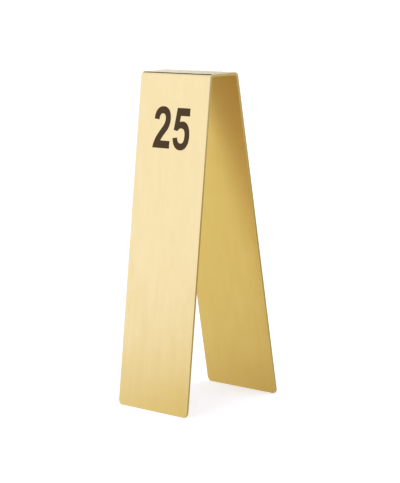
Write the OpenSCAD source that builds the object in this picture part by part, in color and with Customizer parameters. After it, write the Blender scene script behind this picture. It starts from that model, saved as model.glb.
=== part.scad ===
// Tent-shaped table number: one strip of sheet metal folded into two leaning legs with a
// narrow bridge between them, and a two-figure number let into the outside of each leg.
//
// Frame: +Z up, the table at z = 0, X across the strip, the front leg towards -Y.
// Lengths are in millimetres.

/* [Folded sheet] */
// Height of the bridge above the table
overall_h = 151; // [120:1:200]
// Width of the strip
sheet_w = 44; // [36:1:60]
// Thickness of the sheet
sheet_t = 1.2; // [0.8:0.1:2]
// Depth of the bridge, front to rear, between its sharp outer corners
bridge_d = 17.5; // [12:0.5:30]
// Distance between the outer faces of the legs at the table
foot_spread = 60; // [45:1:90]
// Inside radius of the two bends
bend_r = 1; // [0.5:0.1:3]
// Radius of the corners at the feet
foot_corner_r = 2.2; // [1:0.1:6]

/* [Numerals] */
// Height of a flat-topped numeral
numeral_h = 18.5; // [12:0.1:22]
// Distance down the leg from its sharp top corner to the foot of the numerals
numeral_drop = 33.9; // [28:0.1:60]
// Depth of the engraving
engraving_depth = 0.2; // [0.15:0.01:0.3]
// How far the enamel stops below the face of the sheet
enamel_recess = 0.03; // [0.01:0.01:0.1]

/* [Hidden] */
$fn = 96;

gold = "#e6c983";
brown = "#4a3428";

past_face = 0.5;   // how far a cutting shape runs past the face that it cuts
bend_steps = 16;   // straight steps along each bend
curve_steps = 12;  // straight steps along each curved stretch of a numeral

// Angle between each leg and the vertical
lean = atan((foot_spread - bridge_d) / 2 / overall_h);
bend_outer_r = bend_r + sheet_t;
// Distance from a sharp outer corner to the start of its bend, along either face
setback = bend_outer_r * tan((90 - lean) / 2);
// Centre line of the rear bend; the front bend mirrors it
bend_y = bridge_d / 2 - setback;
bend_z = overall_h - bend_outer_r;

// ---------- Folded sheet ----------

// Side view of one skin of the strip, `depth` below its outside, from the rear foot over to the front
function skin(depth) =
  let (
    r = bend_outer_r - depth,
    foot_y = foot_spread / 2 - depth / cos(lean)
  )
  concat(
    [[foot_y, 0]],
    arc([bend_y, bend_z], r, lean, 90),
    arc([-bend_y, bend_z], r, 90, 180 - lean),
    [[-foot_y, 0]]
  );

// Points of an arc about `centre`, from angle `from` to angle `to`
function arc(centre, r, from, to) = [
  for (i = [0 : bend_steps])
    let (angle = from + (to - from) * i / bend_steps)
      centre + r * [cos(angle), sin(angle)]
];

function reversed(points) = [for (i = [len(points) - 1 : -1 : 0]) points[i]];

// The bent strip, with square feet
module bent_strip() {
  rotate([90, 0, 90])
    linear_extrude(sheet_w, center = true)
      polygon(concat(skin(0), reversed(skin(sheet_t))));
}

// Front view of the strip: straight sides, and rounded corners at the table
module strip_front() {
  inner_w = sheet_w - 2 * foot_corner_r;
  translate([-sheet_w / 2, foot_corner_r]) square([sheet_w, overall_h]);
  translate([-inner_w / 2, 0]) square([inner_w, 2 * foot_corner_r]);
  for (side = [-1, 1])
    translate([side * inner_w / 2, foot_corner_r]) circle(foot_corner_r);
}

module folded_sheet() {
  color(gold)
    difference() {
      intersection() {
        bent_strip();
        rotate([90, 0, 0])
          linear_extrude(foot_spread + 2, center = true) strip_front();
      }
      for (turn = [0, 180]) {
        engraving(turn, 0) two();
        engraving(turn, five_at) five();
      }
    }
}

// ---------- Numerals ----------
// Each outline is drawn on a grid on which a flat-topped numeral is 100 high and stands on y = 0.

// From the left side of the 2 to the left side of the 5, and the width of the whole number
five_at = 68.4;
number_w = five_at + 57;

// Points of a cubic curve from `a` to `d`, leaving out `a` itself
function curve(a, b, c, d) = [
  for (i = [1 : curve_steps])
    let (t = i / curve_steps, s = 1 - t)
      s^3 * a + 3 * s^2 * t * b + 3 * s * t^2 * c + t^3 * d
];

// Outline through a list of stretches: [point] is a straight line to it, and [b, c, d] a curve to d
function outline(stretches, i = 0, points = []) =
  i == len(stretches) ? points :
  let (
    s = stretches[i],
    more = len(s) == 1 ? s : curve(points[len(points) - 1], s[0], s[1], s[2])
  )
  outline(stretches, i + 1, concat(points, more));

module two() {
  polygon(outline([
    [[0, 0]],
    [[58.5, 0]],
    [[58.5, 18.5]],
    [[26.5, 18.5]],
    [[32, 27.5], [38, 33.5], [44, 40]],
    [[53.5, 50], [58, 60], [58, 73.5]],
    [[58, 91], [48, 102], [31.5, 102]],
    [[14.5, 102], [3.5, 91], [2, 71]],
    [[19, 69]],
    [[19.5, 79], [23.5, 84.5], [30, 84.5]],
    [[36.5, 84.5], [40.5, 80], [40.5, 73]],
    [[40.5, 64.5], [36.5, 58], [29.5, 50]],
    [[19.5, 38], [4, 24], [0, 0]]
  ]));
}

module five() {
  polygon(outline([
    [[11, 100]],
    [[2, 46]],
    [[15.5, 44]],
    [[18.5, 48.5], [22.5, 51], [27.5, 51]],
    [[35.5, 51], [40, 46], [40, 35]],
    [[40, 22], [36, 14.5], [28, 14.5]],
    [[21.5, 14.5], [16.5, 19], [15.5, 28.5]],
    [[0, 26.5]],
    [[1.5, 8], [12, -2], [28, -2]],
    [[45, -2], [56.5, 12.5], [56.5, 34]],
    [[56.5, 54], [47, 68], [32, 68]],
    [[28, 68], [24.5, 67.5], [21.5, 66]],
    [[24, 81]],
    [[54.5, 81]],
    [[54.5, 100]]
  ]));
}

// Places a numeral on the outside of the front leg (turn 0) or the rear leg (turn 180), with
// z = 0 on that face and +z out of it; `at` is the grid distance from the left of the number
module on_leg(turn, at) {
  grid = numeral_h / 100;
  rotate([0, 0, turn])
    translate([0, -bridge_d / 2, overall_h])
      rotate([90 - lean, 0, 0])
        translate([(at - number_w / 2) * grid, -numeral_drop, 0])
          scale(grid) children();
}

// Shape that cuts the pocket of one numeral
module engraving(turn, at) {
  grid = numeral_h / 100;
  on_leg(turn, at)
    translate([0, 0, -engraving_depth / grid])
      linear_extrude((engraving_depth + past_face) / grid) children();
}

// Enamel that fills the same pocket to just below the face
module enamel(turn, at) {
  grid = numeral_h / 100;
  color(brown)
    on_leg(turn, at)
      translate([0, 0, -engraving_depth / grid])
        linear_extrude((engraving_depth - enamel_recess) / grid) children();
}

folded_sheet();
enamel(0, 0) two();  // front_numeral_two
enamel(0, five_at) five();  // front_numeral_five
enamel(180, 0) two();  // rear_numeral_two
enamel(180, five_at) five();  // rear_numeral_five
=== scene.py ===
import math

import bmesh
import bpy
from mathutils import Matrix, Vector
from mathutils.geometry import delaunay_2d_cdt


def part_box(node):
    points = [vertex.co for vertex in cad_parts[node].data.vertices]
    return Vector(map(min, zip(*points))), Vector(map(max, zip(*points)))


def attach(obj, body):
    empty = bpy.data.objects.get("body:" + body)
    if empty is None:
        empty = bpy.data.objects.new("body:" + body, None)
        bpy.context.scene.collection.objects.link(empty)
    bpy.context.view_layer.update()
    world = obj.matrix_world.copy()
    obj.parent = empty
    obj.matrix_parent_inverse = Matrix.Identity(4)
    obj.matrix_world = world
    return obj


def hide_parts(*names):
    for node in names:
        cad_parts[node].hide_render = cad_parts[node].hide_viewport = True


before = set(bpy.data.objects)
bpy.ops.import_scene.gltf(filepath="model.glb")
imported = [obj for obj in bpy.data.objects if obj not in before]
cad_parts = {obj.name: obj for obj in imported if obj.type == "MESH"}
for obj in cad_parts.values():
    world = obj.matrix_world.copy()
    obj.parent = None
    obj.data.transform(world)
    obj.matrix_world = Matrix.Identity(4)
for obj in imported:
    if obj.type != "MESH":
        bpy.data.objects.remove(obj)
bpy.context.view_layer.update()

MM = 0.001

# ---------- Dimensions ----------
sheet_low, sheet_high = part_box("folded_sheet")
HEIGHT = sheet_high.z
WIDTH = sheet_high.x - sheet_low.x
FOOT_SPREAD = sheet_high.y - sheet_low.y
BRIDGE_DEPTH = 17.5 * MM    # between the sharp outer corners of the bends
THICKNESS = 1.2 * MM
BEND_RADIUS = 1.0 * MM      # inside the bends
FOOT_CORNER = 2.2 * MM
ENGRAVING = 0.2 * MM
ENAMEL_RECESS = 0.03 * MM
EDGE_ROUND = 0.15 * MM      # deburred edge all round the strip
LIP_ROUND = 0.03 * MM       # eased edge round each engraved numeral
ENAMEL_ROUND = 0.05 * MM    # soft edge of the enamel where it meets the metal

# ---------- Fineness of the meshes ----------
BRIDGE_STEP = 1.0 * MM
LEG_STEP = 2.5 * MM
BEND_STEP = math.radians(5)
HALF_COLUMNS = 20           # grid columns on each side of the strip's middle
CORNER_STEPS = 10           # steps round each corner at the feet
EDGE_STEPS = 4              # steps round each deburred edge
LIP_STEPS = 3
ENAMEL_STEPS = 4
BLOCK_MARGIN = 2.0 * MM     # sheet that is triangulated round the numerals
GRID_CLEARANCE = 0.6 * MM   # least distance from a numeral to a grid point
SAME_POINT = 0.001 * MM

LEAN = math.atan((FOOT_SPREAD - BRIDGE_DEPTH) / 2 / HEIGHT)
OUTER_RADIUS = BEND_RADIUS + THICKNESS
BEND_ANGLE = math.pi / 2 - LEAN
BEND_Y = BRIDGE_DEPTH / 2 - OUTER_RADIUS * math.tan(BEND_ANGLE / 2)
BEND_Z = HEIGHT - OUTER_RADIUS
LEG_START = BEND_Y + OUTER_RADIUS * BEND_ANGLE


def leg_top(depth):
    """Height at which a leg leaves its bend, on the skin at this depth."""
    return BEND_Z + (OUTER_RADIUS - depth) * math.sin(LEAN)


LEG_LENGTH = leg_top(0) / math.cos(LEAN)
STRIP_END = LEG_START + LEG_LENGTH


def fold(x, s, depth):
    """A point of the folded strip, the outward normal there, and the direction in which s grows.

    x is across the strip. s runs along its outer skin from the middle of the bridge, and is
    positive towards the rear foot. depth is how far the point lies below the outer skin.
    """
    side = 1 if s > 0 else -1
    run = abs(s)
    angle = min(max(run - BEND_Y, 0) / OUTER_RADIUS, BEND_ANGLE)
    sine, cosine = math.sin(angle), math.cos(angle)
    y = min(run, BEND_Y) + (OUTER_RADIUS - depth) * sine
    z = BEND_Z + (OUTER_RADIUS - depth) * cosine
    if run > LEG_START:
        drop = (run - LEG_START) / LEG_LENGTH * leg_top(depth)
        y += drop * math.tan(LEAN)
        z -= drop
    normal = Vector((0, side * sine, cosine))
    along = Vector((0, cosine, -side * sine))
    return Vector((x, side * y, z)), normal, along


# ---------- Mesh building ----------

class Skin:
    """Vertices, faces, shading normals and material slots of one closed mesh on the folded strip."""

    def __init__(self):
        self.points = []
        self.normals = []
        self.faces = []
        self.slots = []
        self.flat = []

    def vertex(self, x, s, depth, tilt=0.0, out=(0.0, 0.0)):
        """Adds a vertex. Its normal is the skin's, tilted by an angle towards out, given in x and s."""
        point, normal, along = fold(x, s, depth)
        sideways = Vector((out[0], 0, 0)) + along * out[1]
        self.points.append(point)
        self.normals.append(normal * math.cos(tilt) + sideways * math.sin(tilt))
        return len(self.points) - 1

    def face(self, corners, slot=0, flat=False):
        self.faces.append(corners)
        self.slots.append(slot)
        self.flat.append(flat)

    def band(self, upper, lower, slot=0):
        """Quads between two closed rings of the same length; both run anticlockwise seen from outside."""
        for i in range(len(upper)):
            j = (i + 1) % len(upper)
            self.face([upper[i], lower[i], lower[j], upper[j]], slot)

    def build(self, name, materials):
        mesh = bpy.data.meshes.new(name)
        mesh.from_pydata(self.points, [], self.faces)
        for polygon, slot in zip(mesh.polygons, self.slots):
            polygon.material_index = slot
            polygon.use_smooth = True
        corner_normals = []
        for polygon, flat in zip(mesh.polygons, self.flat):
            for corner in polygon.vertices:
                corner_normals.append(polygon.normal.copy() if flat else self.normals[corner])
        mesh.normals_split_custom_set(corner_normals)
        for material in materials:
            mesh.materials.append(material)
        piece = bpy.data.objects.new(name, mesh)
        bpy.context.scene.collection.objects.link(piece)
        return piece


def stations(start, end, step):
    """Even values from start to end, with both ends, no further apart than step."""
    count = max(1, math.ceil((end - start) / step - 1e-6))
    return [start + (end - start) * i / count for i in range(count + 1)]


def quarter(steps):
    return [math.pi / 2 * i / steps for i in range(steps + 1)]


# ---------- Numerals: their outlines come from the CAD nodes ----------

def numeral_outline(node):
    """Outline of a numeral's outer face, anticlockwise seen from outside, as a list of (x, s)."""
    low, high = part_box(node)
    side = 1 if high.y > 0 else -1
    outward = Vector((0, side * math.cos(LEAN), math.sin(LEAN)))
    shape = bmesh.new()
    shape.from_mesh(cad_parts[node].data)
    bmesh.ops.remove_doubles(shape, verts=shape.verts, dist=SAME_POINT)
    top = {f for f in shape.faces if f.normal.dot(outward) > 0.99}
    follow = {}
    for f in top:
        for loop in f.loops:
            if sum(other in top for other in loop.edge.link_faces) == 1:
                follow[loop.vert] = loop.link_loop_next.vert
    start = next(iter(follow))
    outline = []
    corner = start
    while not outline or corner is not start:
        drop = leg_top(ENAMEL_RECESS) - corner.co.z
        run = LEG_START + drop * LEG_LENGTH / leg_top(ENAMEL_RECESS)
        outline.append((corner.co.x, side * run))
        corner = follow[corner]
    shape.free()
    return outline


def outward_miters(outline):
    """For each corner of an anticlockwise outline, the vector that moves it out by one unit of distance."""
    miters = []
    for i, (x, s) in enumerate(outline):
        ahead = outline[(i + 1) % len(outline)]
        behind = outline[i - 1]
        first = Vector((s - behind[1], behind[0] - x)).normalized()
        second = Vector((ahead[1] - s, x - ahead[0])).normalized()
        half = (first + second).normalized()
        miters.append(half / max(half.dot(first), 0.5))
    return miters


def ring(skin, outline, miters, offset, depth, tilt=0.0, turn=1):
    """One ring of vertices that follows an outline at an offset; turn says which way the tilt goes."""
    made = []
    for (x, s), miter in zip(outline, miters):
        out = miter.normalized() * turn
        made.append(skin.vertex(x + miter.x * offset, s + miter.y * offset, depth, tilt, out))
    return made


def inside(x, s, outline):
    """True if the point lies within the outline."""
    found = False
    for i, (ax, a_s) in enumerate(outline):
        bx, b_s = outline[i - 1]
        if (a_s > s) != (b_s > s) and x < (bx - ax) * (s - a_s) / (b_s - a_s) + ax:
            found = not found
    return found


def near(x, s, outline, distance):
    return any(math.hypot(x - ox, s - o_s) < distance for ox, o_s in outline)


def pocket(skin, outline):
    """The eased lip, wall and floor of one engraved numeral. Returns the ring where the lip begins."""
    miters = outward_miters(outline)
    rings = []
    for angle in quarter(LIP_STEPS):
        offset = LIP_ROUND * (1 - math.sin(angle))
        depth = LIP_ROUND * (1 - math.cos(angle))
        rings.append(ring(skin, outline, miters, offset, depth, angle, -1))
    rings.append(ring(skin, outline, miters, 0, ENGRAVING, math.pi / 2, -1))
    for upper, lower in zip(rings, rings[1:]):
        skin.band(lower, upper)
    skin.face(rings[-1], flat=True)
    return rings[0]


def enamel(name, node):
    """The enamel that fills one numeral: a flat top with a soft edge, a side and an underside."""
    outline = numeral_outline(node)
    miters = outward_miters(outline)
    skin = Skin()
    rings = []
    for angle in quarter(ENAMEL_STEPS):
        offset = ENAMEL_ROUND * (math.sin(angle) - 1)
        depth = ENAMEL_RECESS + ENAMEL_ROUND / 2 * (1 - math.cos(angle))
        rings.append(ring(skin, outline, miters, offset, depth, angle))
    rings.append(ring(skin, outline, miters, 0, ENGRAVING, math.pi / 2))
    for upper, lower in zip(rings, rings[1:]):
        skin.band(upper, lower)
    skin.face(rings[0], flat=True)
    skin.face(rings[-1][::-1], flat=True)
    piece = skin.build(name, [enamel_brown])
    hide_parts(node)
    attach(piece, "root")
    return piece


# ---------- The folded sheet ----------

def half_rows():
    """Rows of the sheet's grid from the bridge's middle to one foot, as (s, corner angle)."""
    runs = stations(0, BEND_Y, BRIDGE_STEP)
    runs += stations(BEND_Y, LEG_START, OUTER_RADIUS * BEND_STEP)[1:]
    runs += stations(LEG_START, STRIP_END - FOOT_CORNER, LEG_STEP)[1:]
    rows = [(run, 0.0) for run in runs]
    rows += [(STRIP_END, angle) for angle in quarter(CORNER_STEPS)[1:]]
    return rows


ROWS = [(-s, angle) for s, angle in half_rows()[:0:-1]] + half_rows()
COLUMNS = [i / HALF_COLUMNS for i in range(-HALF_COLUMNS, HALF_COLUMNS + 1)]


def rim(row, column, inset):
    """Where a grid column crosses a row, with the strip's whole outline moved in by inset."""
    s, corner = row
    if corner == 0.0:
        return column * (WIDTH / 2 - inset), s
    radius = FOOT_CORNER - inset
    half = WIDTH / 2 - FOOT_CORNER + radius * math.cos(corner)
    end = STRIP_END - FOOT_CORNER + radius * math.sin(corner)
    return column * half, math.copysign(end, s)


def rim_direction(row, column):
    """The way out of the strip's outline at one of its points."""
    s, corner = row
    if abs(column) < 1:
        return 0.0, math.copysign(1.0, s)
    return math.copysign(math.cos(corner), column), math.copysign(math.sin(corner), s)


def outline_cells():
    """Grid places round the strip's outline, anticlockwise seen from outside: (row, column) indices."""
    last_row, last_column = len(ROWS) - 1, len(COLUMNS) - 1
    cells = [(0, c) for c in range(last_column)]
    cells += [(r, last_column) for r in range(last_row)]
    cells += [(last_row, c) for c in range(last_column, 0, -1)]
    cells += [(r, 0) for r in range(last_row, 0, -1)]
    return cells


def skin_grid(skin, depth, tilt):
    grid = []
    for row in ROWS:
        places = [rim(row, column, EDGE_ROUND) for column in COLUMNS]
        grid.append([skin.vertex(x, s, depth, tilt) for x, s in places])
    return grid


def fill_grid(skin, grid, skipped=(), turned=False):
    """Quads over a grid of vertices, apart from the skipped blocks of rows and columns."""
    for r in range(len(ROWS) - 1):
        for c in range(len(COLUMNS) - 1):
            if any(r in rows and c in columns for rows, columns in skipped):
                continue
            corners = [grid[r][c], grid[r][c + 1], grid[r + 1][c + 1], grid[r + 1][c]]
            skin.face(corners[::-1] if turned else corners)


def numeral_block(outlines):
    """The block of grid cells round some numerals, as ranges of rows and of columns."""
    xs = [x for outline in outlines for x, s in outline]
    runs = [s for outline in outlines for x, s in outline]
    half = WIDTH / 2 - EDGE_ROUND
    first_row = max(r for r, row in enumerate(ROWS) if row[0] < min(runs) - BLOCK_MARGIN)
    last_row = min(r for r, row in enumerate(ROWS) if row[0] > max(runs) + BLOCK_MARGIN)
    first_column = max(c for c, v in enumerate(COLUMNS) if v * half < min(xs) - BLOCK_MARGIN)
    last_column = min(c for c, v in enumerate(COLUMNS) if v * half > max(xs) + BLOCK_MARGIN)
    return range(first_row, last_row), range(first_column, last_column)


def fill_block(skin, grid, block, outlines):
    """Fills a block of the outer skin with triangles, leaving out the numerals, and sinks their pockets."""
    rows, columns = block
    spots, vertices, edges = [], [], []
    for r in range(rows.start, rows.stop + 1):
        for c in range(columns.start, columns.stop + 1):
            x, s = rim(ROWS[r], COLUMNS[c], EDGE_ROUND)
            if not any(inside(x, s, o) or near(x, s, o, GRID_CLEARANCE) for o in outlines):
                spots.append((x, s))
                vertices.append(grid[r][c])
    for outline in outlines:
        first = len(spots)
        lip = pocket(skin, outline)
        for (x, s), miter in zip(outline, outward_miters(outline)):
            spots.append((x + miter.x * LIP_ROUND, s + miter.y * LIP_ROUND))
        vertices += lip
        edges += [(first + i, first + (i + 1) % len(lip)) for i in range(len(lip))]
    scaled = [Vector(spot) / MM for spot in spots]
    _, _, triangles, sources, _, _ = delaunay_2d_cdt(scaled, edges, [], 0, 1e-7)
    for triangle in triangles:
        corners = [sources[i][0] for i in triangle]
        x = sum(spots[i][0] for i in corners) / 3
        s = sum(spots[i][1] for i in corners) / 3
        if not any(inside(x, s, outline) for outline in outlines):
            skin.face([vertices[i] for i in corners])


def folded_sheet():
    skin = Skin()
    front = [numeral_outline("front_numeral_two"), numeral_outline("front_numeral_five")]
    rear = [numeral_outline("rear_numeral_two"), numeral_outline("rear_numeral_five")]
    outer = skin_grid(skin, 0, 0)
    inner = skin_grid(skin, THICKNESS, math.pi)
    blocks = [numeral_block(front), numeral_block(rear)]
    fill_grid(skin, outer, blocks)
    fill_grid(skin, inner, turned=True)
    for block, outlines in zip(blocks, (front, rear)):
        fill_block(skin, outer, block, outlines)

    # Round the outer edge, straight down the cut, then round the inner edge
    cells = outline_cells()
    above = [outer[r][c] for r, c in cells]
    last_tilt = 0.0
    tilts = quarter(EDGE_STEPS)[1:] + [math.pi / 2 + angle for angle in quarter(EDGE_STEPS)]
    for step, tilt in enumerate(tilts):
        inset = EDGE_ROUND * (1 - math.sin(tilt))
        depth = EDGE_ROUND * (1 - math.cos(tilt))
        if step >= EDGE_STEPS:
            depth = THICKNESS - EDGE_ROUND * (1 + math.cos(tilt))
        if step == len(tilts) - 1:
            below = [inner[r][c] for r, c in cells]
        else:
            below = []
            for r, c in cells:
                x, s = rim(ROWS[r], COLUMNS[c], inset)
                out = rim_direction(ROWS[r], COLUMNS[c])
                below.append(skin.vertex(x, s, depth, tilt, out))
        # Slot 1, the straight cut, takes the darker cut-edge gold, which is painted shade
        skin.band(above, below, slot=1 if last_tilt == tilt else 0)
        above, last_tilt = below, tilt
    piece = skin.build("gold_sheet_folded", [satin_gold, painted_shade_cut_edge_gold])
    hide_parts("folded_sheet")
    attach(piece, "root")
    return piece


# ---------- Materials ----------

class Nodes:
    """A small helper that adds shader nodes and links their inputs by name."""

    def __init__(self, owner, shader="Principled BSDF"):
        owner.use_nodes = True
        self.tree = owner.node_tree
        self.shader = self.tree.nodes[shader]

    def add(self, kind, settings=None, **inputs):
        node = self.tree.nodes.new(kind)
        for name, value in (settings or {}).items():
            setattr(node, name, value)
        for name, value in inputs.items():
            self.put(node, int(name[1:]) if name[0] == "i" and name[1:].isdigit() else name, value)
        return node

    def put(self, node, socket, value):
        target = node.inputs[socket]
        if isinstance(value, bpy.types.NodeSocket):
            self.tree.links.new(value, target)
        else:
            target.default_value = value

    def place(self, scale):
        """Position on the object, stretched by a scale along each axis."""
        position = self.add("ShaderNodeTexCoord").outputs["Object"]
        return self.add("ShaderNodeVectorMath", {"operation": "MULTIPLY"}, i0=position, i1=scale).outputs[0]

    def noise(self, scale, detail=3.0, roughness=0.5, size=1.0):
        texture = self.add("ShaderNodeTexNoise", Vector=self.place(scale), Detail=detail,
                           Roughness=roughness, Scale=size)
        return texture.outputs["Fac"]

    def spread(self, value, low, high):
        """A 0 to 1 value drawn out to run from low to high."""
        return self.add("ShaderNodeMapRange", Value=value, **{"To Min": low, "To Max": high}).outputs[0]

    def sharpen(self, value, low, high):
        """The part of a value between low and high, as 0 to 1."""
        return self.add("ShaderNodeMapRange", Value=value, **{"From Min": low, "From Max": high}).outputs[0]

    def math(self, operation, a, b):
        return self.add("ShaderNodeMath", {"operation": operation}, i0=a, i1=b).outputs[0]

    def dot(self, a, b):
        return self.add("ShaderNodeVectorMath", {"operation": "DOT_PRODUCT"}, i0=a, i1=b).outputs["Value"]

    def step(self, value, low, high):
        """A smooth step from 0 to 1 as a value goes from low to high."""
        return self.add("ShaderNodeMapRange", {"interpolation_type": "SMOOTHSTEP"}, Value=value,
                        **{"From Min": low, "From Max": high}).outputs[0]

    def ramp(self, value, stops):
        """A colour that follows a value from -1 to 1 through the given stops."""
        place = self.add("ShaderNodeMapRange", Value=value, **{"From Min": -1.0}).outputs[0]
        node = self.add("ShaderNodeValToRGB", Fac=place)
        elements = node.color_ramp.elements
        while len(elements) < len(stops):
            elements.new(0.5)
        for element, (at, colour) in zip(elements, stops):
            element.position = (at + 1) / 2
            element.color = (*colour, 1)
        return node.outputs[0]

    def mix(self, factor, a, b):
        node = self.add("ShaderNodeMix", {"data_type": "RGBA"})
        self.put(node, 0, factor)
        self.put(node, 6, a)
        self.put(node, 7, b)
        return node.outputs[2]


# Two tones of each gold, light and deep, in linear RGBA
FACE_GOLD = ((0.903, 0.714, 0.358, 1), (0.884, 0.686, 0.322, 1))
# The cut edges' gold is a darker copy of the face gold: painted shade for the darker look the cut edges get
# from their light
PAINTED_SHADE_EDGE_GOLD = ((0.600, 0.500, 0.250, 1), (0.560, 0.460, 0.220, 1))
WAVINESS = 0.3 * MM     # how far the sheet strays from flat
TWIST = 0.2             # how steeply its sides lean, per metre from the middle
GRAIN_DEPTH = 0.004 * MM


def gold_material(name, tones, roughness, grain):
    """Satin gold metal with a lengthwise brushed grain, worn and clouded unevenly."""
    material = bpy.data.materials.new(name)
    n = Nodes(material)
    # The scales are in features per metre, across the strip and along it
    fine = n.noise((9000, 60, 60), detail=4, roughness=0.65)
    coarse = n.noise((1200, 12, 12), detail=3)
    cloud = n.noise((150, 70, 70), detail=4, roughness=0.6)
    tone = n.math("ADD", n.spread(coarse, 0.0, 0.4), n.spread(cloud, 0.0, 0.6))
    n.put(n.shader, "Base Color", n.mix(n.sharpen(tone, 0.35, 0.65), *tones))
    rough = n.math("ADD", n.spread(fine, roughness - 0.04, roughness + 0.04), n.spread(cloud, -0.03, 0.03))
    n.put(n.shader, "Roughness", rough)
    n.put(n.shader, "Metallic", 1.0)
    n.put(n.shader, "Anisotropic", 0.85)
    n.put(n.shader, "Anisotropic Rotation", 0.25)
    tangent = n.add("ShaderNodeTangent", {"direction_type": "RADIAL", "axis": "X"})
    n.put(n.shader, "Tangent", tangent.outputs[0])
    place = n.add("ShaderNodeSeparateXYZ", i0=n.place((TWIST / WAVINESS, 1, 1)))
    twist = n.math("MULTIPLY", place.outputs["X"], place.outputs["Z"])
    wave = n.math("ADD", n.noise((22, 16, 16), detail=1), twist)
    bent = n.add("ShaderNodeBump", Height=wave, Strength=1.0, Distance=WAVINESS)
    bump = n.add("ShaderNodeBump", Height=fine, Strength=grain, Distance=GRAIN_DEPTH,
                 Normal=bent.outputs[0])
    n.put(n.shader, "Normal", bump.outputs[0])
    return material


ENAMEL_BROWN = ((0.080, 0.042, 0.012, 1), (0.064, 0.033, 0.009, 1))


def enamel_material():
    """Matt dark brown enamel with a faint mottle."""
    material = bpy.data.materials.new("enamel_brown")
    n = Nodes(material)
    mottle = n.noise((900, 900, 900), detail=4)
    n.put(n.shader, "Base Color", n.mix(mottle, *ENAMEL_BROWN))
    n.put(n.shader, "Specular IOR Level", 0.15)
    n.put(n.shader, "Roughness", n.spread(mottle, 0.5, 0.62))
    bump = n.add("ShaderNodeBump", Height=n.noise((5000, 5000, 5000)), Strength=0.3, Distance=GRAIN_DEPTH)
    n.put(n.shader, "Normal", bump.outputs[0])
    return material


satin_gold = gold_material("satin_gold", FACE_GOLD, 0.20, 0.16)
# Cut-edge gold: painted shade in its darker colour, with a real rougher and grainier finish
painted_shade_cut_edge_gold = gold_material("painted_shade_cut_edge_gold", PAINTED_SHADE_EDGE_GOLD, 0.22, 0.4)
enamel_brown = enamel_material()

folded_sheet()
for leg in ("front", "rear"):
    for figure in ("two", "five"):
        enamel(f"{leg}_enamel_{figure}", f"{leg}_numeral_{figure}")


# ---------- Floor, light and camera ----------

def floor():
    bpy.ops.mesh.primitive_circle_add(vertices=96, radius=8, fill_type="NGON")
    ground = bpy.context.object
    ground.name = "floor"
    material = bpy.data.materials.new("pale_floor")
    n = Nodes(material)
    n.put(n.shader, "Base Color", (0.9, 0.9, 0.9, 1))
    n.put(n.shader, "Roughness", 0.9)
    n.put(n.shader, "Emission Color", (1, 1, 1, 1))
    n.put(n.shader, "Emission Strength", 0.45)
    ground.data.materials.append(material)
    ground.visible_glossy = False


BRIGHT = (1.08, 1.13, 1.36)
OVERHEAD = [(0.78, (0.60, 0.60, 0.58)), (0.86, (0.60, 0.60, 0.58)), (0.93, (0.95, 1.00, 1.10))]
# The light that comes from each side, by the sine of its elevation
FRONT_LEFT = [
    (-1.00, (0.80, 0.74, 0.55)),
    (-0.80, (0.74, 0.68, 0.46)),
    (-0.68, (0.42, 0.33, 0.17)),
    (-0.44, (0.48, 0.36, 0.16)),
    (-0.39, (0.80, 0.74, 0.46)),
    (-0.24, (0.86, 0.80, 0.47)),
    (-0.08, (0.74, 0.65, 0.27)),
    (-0.055, (0.74, 0.65, 0.27)),
    (-0.01, BRIGHT),
    (0.66, BRIGHT),
] + OVERHEAD
REAR_RIGHT = [
    (-1.00, (0.80, 0.74, 0.55)),
    (-0.30, (0.70, 0.62, 0.38)),
    (-0.09, (0.62, 0.55, 0.29)),
    (-0.07, (0.62, 0.55, 0.29)),
    (-0.02, BRIGHT),
    (0.66, BRIGHT),
] + OVERHEAD
REAR_LEFT = [
    (-1.00, (0.80, 0.74, 0.55)),
    (-0.55, (0.62, 0.55, 0.45)),
    (-0.47, (0.62, 0.56, 0.50)),
    (-0.42, (0.26, 0.27, 0.38)),
    (-0.30, (0.32, 0.32, 0.40)),
    (-0.20, (0.66, 0.59, 0.45)),
    (-0.06, (1.18, 1.20, 1.12)),
    (0.12, (1.18, 1.20, 1.12)),
    (0.20, (0.92, 0.94, 0.90)),
    (0.66, (0.95, 0.97, 0.95)),
] + OVERHEAD
FRONT_RIGHT = [
    (-1.00, (0.80, 0.74, 0.55)),
    (-0.35, (0.72, 0.64, 0.46)),
    (-0.10, (0.85, 0.78, 0.58)),
    (-0.04, (1.05, 1.08, 1.10)),
    (0.14, (1.05, 1.08, 1.10)),
    (0.24, (0.95, 0.97, 0.95)),
    (0.66, (0.95, 0.97, 0.95)),
] + OVERHEAD


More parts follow.
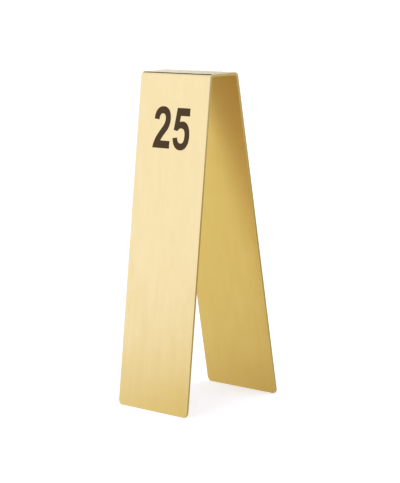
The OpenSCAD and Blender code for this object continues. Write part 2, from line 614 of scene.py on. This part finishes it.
def studio():
    """Soft light from all round, warmer below, with a dark gap above each of two of its seams."""
    world = bpy.data.worlds.new("studio")
    bpy.context.scene.world = world
    n = Nodes(world, "Background")
    direction = n.add("ShaderNodeTexCoord").outputs["Generated"]
    rise = n.add("ShaderNodeSeparateXYZ", i0=direction).outputs["Z"]
    to_front_left = n.dot(direction, Vector((-1, -1, 0)).normalized())
    to_front_right = n.dot(direction, Vector((1, -1, 0)).normalized())
    light = n.mix(n.step(to_front_right, -0.1, 0.1), n.ramp(rise, REAR_LEFT), n.ramp(rise, FRONT_RIGHT))
    light = n.mix(n.step(to_front_left, 0.24, 0.32), light, n.ramp(rise, FRONT_LEFT))
    light = n.mix(n.step(to_front_left, -0.24, -0.32), light, n.ramp(rise, REAR_RIGHT))
    # The dark gap draws the thin dark line along the outside of a bend
    off_seam = n.math("ABSOLUTE", to_front_left, 0)
    across = n.math("MULTIPLY", n.step(off_seam, 0.01, 0.03), n.step(off_seam, 0.37, 0.29))
    upright = n.math("MULTIPLY", n.step(rise, 0.15, 0.20), n.step(rise, 0.84, 0.76))
    n.put(n.shader, "Color", n.mix(n.math("MULTIPLY", across, upright), light, (0, 0, 0, 1)))


CAMERA_PLACE = (0.6125, -0.6108, 0.2125)
CAMERA_YAW = 44.90
CAMERA_PITCH = -9.13
CAMERA_ROLL = -1.61
CAMERA_LENS = 143.05    # on Blender's 36 mm sensor


def camera():
    data = bpy.data.cameras.new("camera")
    data.lens = CAMERA_LENS
    data.clip_start = 0.01
    eye = bpy.data.objects.new("camera", data)
    bpy.context.scene.collection.objects.link(eye)
    turn = Matrix.Rotation(math.radians(CAMERA_YAW), 4, "Z")
    turn @= Matrix.Rotation(math.radians(90 + CAMERA_PITCH), 4, "X")
    turn @= Matrix.Rotation(math.radians(CAMERA_ROLL), 4, "Z")
    eye.matrix_world = Matrix.Translation(CAMERA_PLACE) @ turn
    bpy.context.scene.camera = eye


floor()
studio()
camera()
bpy.context.scene.view_settings.view_transform = "Standard"
